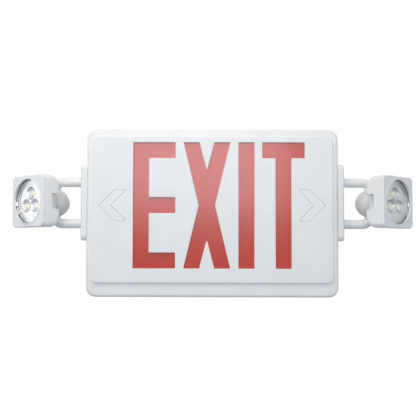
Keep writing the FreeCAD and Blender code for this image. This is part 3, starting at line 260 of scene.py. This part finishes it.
def add_piece(name, mesh, slot, body, *replaced, matrix=None, extra=()):
    """Put a mesh in the scene as a piece of a body, in a slot's finish."""
    piece = bpy.data.objects.new(name, mesh)
    bpy.context.scene.collection.objects.link(piece)
    if matrix is not None:
        mesh.transform(matrix)
    mesh.materials.clear()
    for finish in (slot, *extra):
        mesh.materials.append(materials[finish])
    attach(piece, body)
    if replaced:
        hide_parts(*replaced)
    return piece


def soften(mesh, degrees=35.0):
    """Shade smooth, with edges sharper than the angle left crisp."""
    mesh.shade_smooth()
    mesh.set_sharp_from_angle(angle=math.radians(degrees))
    return mesh


def rounded(points, radius, steps=4):
    """Round the corners of a closed outline with arcs of one radius, or of a list with one for each point."""
    count = len(points)
    radii = [radius] * count if isinstance(radius, (int, float)) else radius
    made = []
    for index, corner in enumerate(points):
        here = Vector(corner)
        before = (Vector(points[index - 1]) - here).normalized()
        after = (Vector(points[(index + 1) % count]) - here).normalized()
        half = before.angle(after) / 2
        setback = radii[index] / math.tan(half)
        centre = here + (before + after).normalized() * (radii[index] / math.sin(half))
        first = (here + before * setback - centre).normalized()
        last = (here + after * setback - centre).normalized()
        for step in range(steps + 1):
            made.append(tuple(centre + first.slerp(last, step / steps) * radii[index]))
    return made


def filled(name, outlines, middle, **settings):
    """Mesh of a filled curve that stands in the XZ plane: the first outline, less the others.

    `middle` is its y. The curve is drawn in millimetres, and so are its settings.
    """
    curve = bpy.data.curves.new(name, "CURVE")
    curve.dimensions = "2D"
    for key, value in settings.items():
        setattr(curve, key, value)
    for points in outlines:
        spline = curve.splines.new("POLY")
        spline.points.add(len(points) - 1)
        for point, (x, z) in zip(spline.points, points):
            point.co = (x / MM, z / MM, 0.0, 1.0)
        spline.use_cyclic_u = True
    holder = bpy.data.objects.new(name, curve)
    bpy.context.scene.collection.objects.link(holder)
    bpy.context.view_layer.update()
    mesh = bpy.data.meshes.new_from_object(holder)
    bpy.data.objects.remove(holder)
    bpy.data.curves.remove(curve)
    stand = Matrix.Rotation(math.pi / 2, 4, "X") @ Matrix.Scale(MM, 4)
    mesh.transform(Matrix.Translation((0, middle, 0)) @ stand)
    return mesh


def cut_plate(name, outlines, thick, bevel, front, gap=0.0):
    """A plate standing in the XZ plane: the first outline, less the others, with rounded edges.

    `front` is the y of its front face. Its edges draw back by `gap`, and their rounding has material slot 1, which
    on the stencil plate holds a painted highlight.
    """
    mesh = filled(
        name, outlines, front + thick / 2, fill_mode="BOTH", extrude=(thick / 2 - bevel) / MM,
        bevel_depth=bevel / MM, bevel_resolution=1, offset=-(bevel + gap) / MM,
    )
    for face in mesh.polygons:
        # the rounding that faces forward goes in slot 1, where a brighter white paints a highlight along the edges
        face.material_index = 1 if -0.97 < face.normal.y < -0.1 else 0
    return soften(mesh, 50.0)


def finished(name, shape):
    """Turn a bmesh into a mesh, its faces all outwards."""
    bmesh.ops.recalc_face_normals(shape, faces=shape.faces)
    mesh = bpy.data.meshes.new(name)
    shape.to_mesh(mesh)
    shape.free()
    return mesh


def turned(name, profile, segments=96):
    """Turn an open profile of (radius, depth) about the Y axis; depth grows along +Y."""
    shape = bmesh.new()
    rings = []
    for radius, depth in profile:
        if radius < 1e-7:
            rings.append([shape.verts.new((0, depth, 0))] * segments)
            continue
        ring = []
        for step in range(segments):
            angle = 2 * math.pi * step / segments
            ring.append(shape.verts.new((radius * math.cos(angle), depth, radius * math.sin(angle))))
        rings.append(ring)
    for inner, outer in zip(rings, rings[1:]):
        for step in range(segments):
            after = (step + 1) % segments
            corners = [inner[step], outer[step], outer[after], inner[after]]
            shape.faces.new(list(dict.fromkeys(corners)))
    return soften(finished(name, shape))


# ---------------------------------------------------------------- the face: word and arrows

LETTER_HIGH = 152.4 * MM
STROKE = LETTER_HIGH / 8
LETTER_ROUND = 0.9 * MM
WORD_SHIFT = 8.0 * MM          # the word stands this far right of the sign's middle
ARROW_HIGH = 38.2 * MM
ARROW_WIDE = 14.3 * MM
ARROW_TIP = 137.0 * MM
LETTER_LEFTS = (-103.6 * MM, -42.7 * MM, 23.8 * MM, 52.4 * MM)
FACE_CORNER = 7.0 * MM
EDGE_ROUND = 0.65 * MM         # rounding of the plate's edge and of the letters
KNOCKOUT_ROUND = 0.2 * MM
KNOCKOUT_GAP = 0.15 * MM       # fine gap round each arrow


def letter_e(left):
    """Outline of the first letter, from its left side."""
    high, right, stem, half = LETTER_HIGH / 2, left + 51.0 * MM, left + STROKE, STROKE / 2
    return [
        (left, high), (right, high), (right, high - STROKE), (stem, high - STROKE), (stem, half),
        (right, half), (right, -half), (stem, -half), (stem, STROKE - high), (right, STROKE - high),
        (right, -high), (left, -high),
    ]


def letter_x(left):
    """Outline of the second letter: arms that cross at mid height, with pointed notches."""
    high, reach, waist = LETTER_HIGH / 2, 28.2 * MM, 9.65 * MM
    middle, inner, notch, tip = left + reach, reach - STROKE, high - 33.0 * MM, 0.7 * MM
    upper = [(-reach, high), (-inner, high), (-tip, notch), (tip, notch), (inner, high), (reach, high)]
    lower = [(x, -z) for x, z in reversed(upper)]
    return [(middle + x, z) for x, z in upper + [(waist, 0.0)] + lower + [(-waist, 0.0)]]


def letter_i(left):
    """Outline of the third letter."""
    high = LETTER_HIGH / 2
    return [(left, high), (left + STROKE, high), (left + STROKE, -high), (left, -high)]


def letter_t(left):
    """Outline of the last letter."""
    high, wide = LETTER_HIGH / 2, 51.2 * MM
    stem = left + (wide - STROKE) / 2
    return [
        (left, high), (left + wide, high), (left + wide, high - STROKE), (stem + STROKE, high - STROKE),
        (stem + STROKE, -high), (stem, -high), (stem, high - STROKE), (left, high - STROKE),
    ]


def arrow(side):
    """Outline of a knock-out arrow that points to one side; both arms run at 45 degrees."""
    half = ARROW_HIGH / 2
    tip, notch = ARROW_TIP, ARROW_TIP - ARROW_WIDE
    upper = [(tip, 0.0), (tip - half, half), (notch - half, half)]
    lower = [(notch, 0.0), (notch - half, -half), (tip - half, -half)]
    return [(side * x, z) for x, z in upper + lower]


def make_face():
    """Stencil plate with the word cut through it and the two arrows scored as knock-outs."""
    low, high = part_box("face_plate")
    thick = high.y - low.y
    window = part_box("red_diffuser")
    middle = (window[0].z + window[1].z) / 2

    def on_face(points, radius):
        return [(x, z + middle) for x, z in rounded(points, radius)]

    outer = rounded([(low.x, low.z), (high.x, low.z), (high.x, high.z), (low.x, high.z)], FACE_CORNER, 8)
    makers = (letter_e, letter_x, letter_i, letter_t)
    letters = [on_face(maker(WORD_SHIFT + left), LETTER_ROUND) for maker, left in zip(makers, LETTER_LEFTS)]
    corners = [0.5 * MM, 1.5 * MM, 1.3 * MM, 0.5 * MM, 1.3 * MM, 1.5 * MM]
    arrows = {hand: on_face(arrow(side), corners) for hand, side in (("left", -1), ("right", 1))}
    plate = cut_plate("stencil_plate", [outer, *letters, *arrows.values()], thick, EDGE_ROUND, low.y)
    # the rounded edges of the plate and letters take the brighter white, a painted highlight
    add_piece("stencil_plate", plate, "face_white", "sign", "face_plate", extra=("face_rim_highlight",))
    for hand, outline in arrows.items():
        knockout = cut_plate(f"{hand}_arrow", [outline], thick, KNOCKOUT_ROUND, low.y, gap=KNOCKOUT_GAP)
        add_piece(f"{hand}_arrow", knockout, "face_white", "sign")


# ---------------------------------------------------------------- lamp optics

CUP_COUNT = 3
CUP_OFFSET = 9.9 * MM
CUP_MOUTH = 8.3 * MM
CUP_THROAT = 2.7 * MM
CUP_FACETS = 12
LENS_BACK = 2.2 * MM                                # lens flange's rear face behind the lens front
FLOOR_AT = LENS_BACK + 2.4 * MM                     # reflector's floor behind the lens front
FLOOR_RADIUS = CUP_OFFSET + CUP_MOUTH + 0.5 * MM
FLANGE_LIP = 1.6 * MM                               # flange beyond the clear opening
STEPS_DEEP = 1.3 * MM                               # height of all the reflector's steps
LAMP_SIDE = 5.4 * MM


def on_circle(radius, angle, depth=0.0):
    """A point at a radius and angle about the Y axis, at a depth along it."""
    return radius * math.cos(angle), depth, radius * math.sin(angle)


def around(count, turn=0.0):
    """Angles of `count` even steps round, the first one `turn` steps on."""
    return [2 * math.pi * (step + turn) / count for step in range(count)]


def cup_spots():
    """Centre of each cup across the head, as (x, z); the first one stands at the top."""
    spots = []
    for number in range(CUP_COUNT):
        angle = math.radians(90 + 360 / CUP_COUNT * number)
        spots.append((CUP_OFFSET * math.cos(angle), CUP_OFFSET * math.sin(angle)))
    return spots


def head_frame(hand):
    """Frame of a lamp head: origin on the lens axis at the lens front, +Y into the head, +Z up.

    Also gives the flange radius and how far the lamp board lies behind the lens front.
    """
    low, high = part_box(f"{hand}_reflector")
    middle = (low + high) / 2
    out = middle - joint_at[f"{hand}_turn"]
    out.z = 0.0
    out.normalize()
    across = Vector((0, 0, 1)).cross(out)
    radius = (high.z - low.z) / 2
    thick = (high.x - low.x - 2 * radius * abs(out.y)) / abs(out.x)
    basis = Matrix((across, -out, Vector((0, 0, 1)))).transposed().to_4x4()
    return Matrix.Translation(middle + out * (thick / 2 + LENS_BACK)) @ basis, radius, LENS_BACK + thick


def lofted(name, rings):
    """Skin between rings of as many points; every second one is half a step round, so facets interlock."""
    shape = bmesh.new()
    rows = [[shape.verts.new(point) for point in ring] for ring in rings]
    count = len(rows[0])
    for row, (front, back) in enumerate(zip(rows, rows[1:])):
        for step in range(count):
            after = (step + 1) % count
            if row % 2 == 0:
                shape.faces.new([front[step], back[step], front[after]])
                shape.faces.new([front[after], back[step], back[after]])
            else:
                shape.faces.new([front[step], back[after], front[after]])
                shape.faces.new([front[step], back[step], back[after]])
    return finished(name, shape)


def cup_mesh(name, deep):
    """Faceted bowl of one lamp about the Y axis, mouth at y = 0, as four rows of interlocking facets."""
    rings = []
    for row, share in enumerate((1.0, 0.86, 0.68, 0.48, 0.0)):
        radius = CUP_THROAT + (CUP_MOUTH - CUP_THROAT) * share
        depth = deep * (1.0 - share ** 1.6)
        rings.append([on_circle(radius, angle, depth) for angle in around(CUP_FACETS, 0.5 * (row % 2))])
    return lofted(name, rings)


def bowl_mesh(name, flange):
    """Reflector round the cups: rim, smooth wall and stepped rings down to the floor."""
    wall = flange - FLANGE_LIP
    foot = wall - 0.3 * MM
    rim_at, foot_at = LENS_BACK + 0.1 * MM, FLOOR_AT - STEPS_DEEP
    steps = 4
    pitch = (foot - FLOOR_RADIUS) / steps
    profile = [(flange - 0.1 * MM, rim_at), (wall, rim_at), (foot, foot_at)]
    for step in range(steps):
        outer = foot - pitch * step
        depth = foot_at + STEPS_DEEP * (step + 1) / steps
        lift = 0.12 * MM if step < steps - 1 else 0.0
        profile += [(outer - 0.25 * pitch, depth), (outer - pitch, depth - lift)]
    return turned(name, profile)


def floor_mesh(name):
    """Flat floor between the cups, with a round hole for each."""
    hole = CUP_MOUTH - 0.05 * MM
    outlines = [[(FLOOR_RADIUS * math.cos(angle), FLOOR_RADIUS * math.sin(angle)) for angle in around(96)]]
    for x, z in cup_spots():
        outlines.append([(x + hole * math.cos(angle), z + hole * math.sin(angle)) for angle in around(48)])
    return filled(name, outlines, FLOOR_AT, fill_mode="FRONT")


def optic_mesh(name, flange):
    """Clear moulded optic: flat front with a small bevel, locating flange, and a deep body behind it."""
    edge = flange - FLANGE_LIP
    body_back = FLOOR_AT - 1.6 * MM
    return turned(name, [
        (0.0, 0.0), (edge - 0.4 * MM, 0.0), (edge, 0.4 * MM), (edge, 0.8 * MM), (flange, 0.8 * MM),
        (flange, LENS_BACK), (edge - 0.2 * MM, LENS_BACK), (edge - 0.6 * MM, body_back), (0.0, body_back),
    ])


def lamps_mesh(name, board_at):
    """The lamp packages on their board: a square base and a phosphor dome for each."""
    shape = bmesh.new()
    segments = 24
    for x, z in cup_spots():
        size = Matrix.Diagonal((LAMP_SIDE, 0.5 * MM, LAMP_SIDE, 1.0))
        bmesh.ops.create_cube(shape, size=1.0, matrix=Matrix.Translation((x, board_at - 0.25 * MM, z)) @ size)
        centre = Vector((x, board_at, z))
        top = shape.verts.new(centre - Vector((0, 1.7 * MM, 0)))
        rings = []
        for radius, high in ((1.0, 1.55), (1.8, 1.15), (2.3, 0.5)):
            ring = [centre + Vector(on_circle(radius * MM, angle, -high * MM)) for angle in around(segments)]
            rings.append([shape.verts.new(point) for point in ring])
        for step in range(segments):
            after = (step + 1) % segments
            shape.faces.new([top, rings[0][step], rings[0][after]])
            for inner, outer in zip(rings, rings[1:]):
                shape.faces.new([inner[step], outer[step], outer[after], inner[after]])
    return soften(finished(name, shape), 40.0)


def make_optics(hand):
    """Stepped reflector with three faceted cups, the lamps, and the clear optic in front of them."""
    place, flange, board_at = head_frame(hand)
    body = f"{hand}_head"
    chrome = "reflector_chrome"
    bowl = bowl_mesh(f"{hand}_bowl", flange)
    add_piece(f"{hand}_bowl", bowl, chrome, body, f"{hand}_reflector", matrix=place)
    add_piece(f"{hand}_floor", floor_mesh(f"{hand}_floor"), chrome, body, matrix=place)
    for number, (x, z) in enumerate(cup_spots(), 1):
        cup = cup_mesh(f"{hand}_cup_{number}", board_at - 0.1 * MM - FLOOR_AT)
        spot = place @ Matrix.Translation((x, FLOOR_AT, z))
        add_piece(f"{hand}_cup_{number}", cup, chrome, body, matrix=spot)
    lamps = lamps_mesh(f"{hand}_lamps", board_at)
    add_piece(f"{hand}_lamps", lamps, "led_yellow", body, f"{hand}_leds", matrix=place)
    optic = optic_mesh(f"{hand}_optic", flange)
    add_piece(f"{hand}_optic", optic, "lens_clear", body, f"{hand}_lens", matrix=place)


make_face()
for hand in ("left", "right"):
    make_optics(hand)


# ---------------------------------------------------------------- studio

def make_camera():
    """A camera a little below the sign's middle and about three sign-widths away, looking slightly up."""
    target = Vector((-5.1 * MM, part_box("face_plate")[0].y, 5.7 * MM))
    distance = 925 * MM
    rise, swing, roll = math.radians(-3.33), math.radians(0.47), math.radians(0.16)
    back = Vector((math.sin(swing) * math.cos(rise), -math.cos(swing) * math.cos(rise), math.sin(rise)))
    across = (-back).cross(Vector((0, 0, 1))).normalized()
    up = across.cross(-back)
    right = across * math.cos(roll) + up * math.sin(roll)
    upward = up * math.cos(roll) - across * math.sin(roll)
    camera = bpy.data.objects.new("camera", bpy.data.cameras.new("camera"))
    bpy.context.scene.collection.objects.link(camera)
    camera.data.sensor_width = 36.0
    camera.data.lens = 66.43
    basis = Matrix((right, upward, back)).transposed().to_4x4()
    camera.matrix_world = Matrix.Translation(target + back * distance) @ basis
    bpy.context.scene.camera = camera


def add_lamp(name, place, target, wide, high, power, colour):
    """A soft rectangular lamp that faces a point."""
    data = bpy.data.lights.new(name, "AREA")
    data.shape = "RECTANGLE"
    data.size, data.size_y = wide, high
    data.energy, data.color = power, colour
    lamp = bpy.data.objects.new(name, data)
    bpy.context.scene.collection.objects.link(lamp)
    lamp.location = place
    lamp.rotation_euler = (Vector(place) - Vector(target)).to_track_quat("Z", "Y").to_euler()


ROOM_STRENGTH = 0.42
ROOM_STOPS = (                 # colour of the room from straight down to straight up
    (0.0, (0.28, 0.37, 0.52)),
    (0.46, (0.48, 0.61, 0.78)),
    (0.56, (0.68, 0.79, 0.90)),
    (1.0, (0.87, 0.94, 1.0)),
)


def make_world():
    """White to the camera, in reflections and through glass; a cool room, paler above, lights the rest."""
    world = bpy.data.worlds.new("studio")
    bpy.context.scene.world = world
    world.use_nodes = True
    nodes, link = world.node_tree.nodes, world.node_tree.links.new
    nodes.clear()
    place = nodes.new("ShaderNodeTexCoord")
    split = nodes.new("ShaderNodeSeparateXYZ")
    ramp = nodes.new("ShaderNodeValToRGB")
    scale = nodes.new("ShaderNodeMapRange")
    scale.inputs["From Min"].default_value = -1.0
    link(place.outputs["Generated"], split.inputs["Vector"])
    link(split.outputs["Z"], scale.inputs["Value"])
    link(scale.outputs["Result"], ramp.inputs["Fac"])
    for index, (at, colour) in enumerate(ROOM_STOPS):
        stop = ramp.color_ramp.elements[index] if index < 2 else ramp.color_ramp.elements.new(at)
        stop.position = at
        stop.color = (*colour, 1.0)
    room = nodes.new("ShaderNodeBackground")
    link(ramp.outputs["Color"], room.inputs["Color"])
    room.inputs["Strength"].default_value = ROOM_STRENGTH
    white = nodes.new("ShaderNodeBackground")
    white.inputs["Color"].default_value = (1, 1, 1, 1)
    path = nodes.new("ShaderNodeLightPath")
    shown = path.outputs["Is Camera Ray"]
    for ray in ("Is Transmission Ray", "Is Glossy Ray"):
        either = nodes.new("ShaderNodeMath")
        either.operation = "MAXIMUM"
        link(shown, either.inputs[0])
        link(path.outputs[ray], either.inputs[1])
        shown = either.outputs[0]
    mixer = nodes.new("ShaderNodeMixShader")
    link(shown, mixer.inputs[0])
    link(room.outputs[0], mixer.inputs[1])
    link(white.outputs[0], mixer.inputs[2])
    output = nodes.new("ShaderNodeOutputWorld")
    link(mixer.outputs[0], output.inputs["Surface"])


FLOOR_WIDE = 6.0
FLOOR_BELOW = 1.3


def make_floor():
    """Plain pale floor well below the sign, as under a wall-mounted unit."""
    mesh = bpy.data.meshes.new("floor")
    shape = bmesh.new()
    bmesh.ops.create_circle(shape, cap_ends=True, segments=96, radius=FLOOR_WIDE / 2)
    shape.to_mesh(mesh)
    shape.free()
    floor = bpy.data.objects.new("floor", mesh)
    bpy.context.scene.collection.objects.link(floor)
    floor.location.z = -FLOOR_BELOW
    mesh.materials.append(moulded("floor_pale", (0.72, 0.72, 0.72), rough=0.7, grain=40.0))


make_camera()
make_world()
make_floor()
add_lamp("front_softbox", (-0.09, -1.95, 0.36), (0, 0, 0), 0.8, 0.54, 8.6, (0.88, 0.94, 1.0))
add_lamp("top_softbox", (-0.16, -0.50, 0.60), (0, 0, 0), 0.6, 0.4, 2.7, (1.0, 0.92, 0.80))
add_lamp("left_softbox", (-1.3, -1.3, 0.25), (0, 0, 0), 1.0, 1.0, 2.3, (0.82, 0.90, 1.0))
add_lamp("side_softbox", (-1.6, 0.25, 0.1), (-0.2, 0, 0), 0.9, 0.9, 2.5, (1.0, 0.97, 0.96))
add_lamp("right_softbox", (1.5, -0.35, 0.15), (0.2, 0, 0), 0.8, 0.8, 1.8, (0.96, 0.97, 1.0))
add_lamp("back_softbox", (0.3, 1.6, 0.5), (0, 0, 0), 1.2, 0.8, 5.0, (1.0, 0.97, 0.93))
bpy.context.scene.view_settings.view_transform = "Standard"
